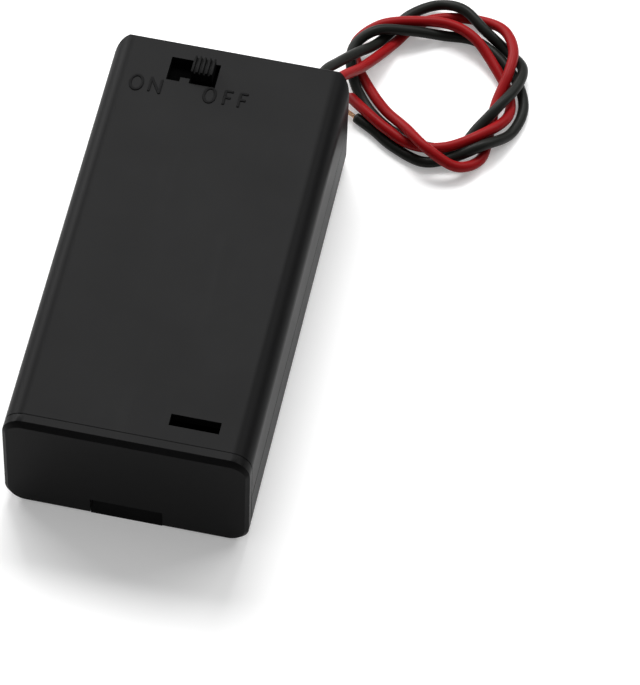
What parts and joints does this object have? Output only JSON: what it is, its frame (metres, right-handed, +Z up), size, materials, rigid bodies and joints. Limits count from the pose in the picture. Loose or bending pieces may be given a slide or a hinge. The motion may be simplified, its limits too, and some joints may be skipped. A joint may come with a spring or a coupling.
{
  "type": "two cell battery holder with slide switch",
  "caption": "Closed moulded holder for two cylindrical cells side by side, with a slide switch, a screwed cover and a red and a black lead with stripped ends.",
  "frame": {"origin": "middle of the underside of the closed case, on the surface it stands on, without the leads", "axes": "X across the case, +Y along it towards the end with the switch and the leads, +Z up through the face with the switch"},
  "size_m": [0.0596, 0.1001, 0.0209],
  "materials": {
    "case_plastic": "satin black moulding",
    "cover_plastic": "satin black moulding",
    "slider_plastic": "satin black moulding",
    "base_board": "brown laminate board",
    "screw_steel": "zinc plated",
    "plated_steel": "nickel plated sheet",
    "spring_steel": "nickel plated wire",
    "contact_bronze": "bright bronze sheet",
    "solder": "bright solder",
    "lead_red_skin": "smooth soft red insulation",
    "lead_black_skin": "smooth soft black insulation",
    "copper": "fine bare copper strands, tinned at the tip"
  },
  "bodies": {
    "case": {"case_body": "case_plastic", "switch_base": "base_board", "switch_contact_in": "contact_bronze", "switch_contact_out": "contact_bronze", "front_jumper": "plated_steel", "front_spring": "spring_steel", "positive_plate": "plated_steel", "negative_plate": "plated_steel", "rear_spring": "spring_steel", "link_wire": "lead_red_skin", "solder_positive": "solder", "solder_switch_in": "solder", "solder_switch_out": "solder", "solder_negative": "solder", "lead_red": "lead_red_skin", "lead_black": "lead_black_skin", "strands_red": "copper", "strands_black": "copper"},
    "slider": {"switch_slider": "slider_plastic", "switch_wiper": "contact_bronze"},
    "cover": {"cover": "cover_plastic", "cover_screw": "screw_steel"}
  },
  "joints": [
    {"name": "switch_slide", "type": "slide", "parent": "case", "child": "slider", "axis": [-1, 0, 0], "range_m": [0, 0.0028]},
    {"name": "cover_lift", "type": "slide", "parent": "case", "child": "cover", "axis": [0, 0, -1], "range_m": [0, 0.03]}
  ]
}
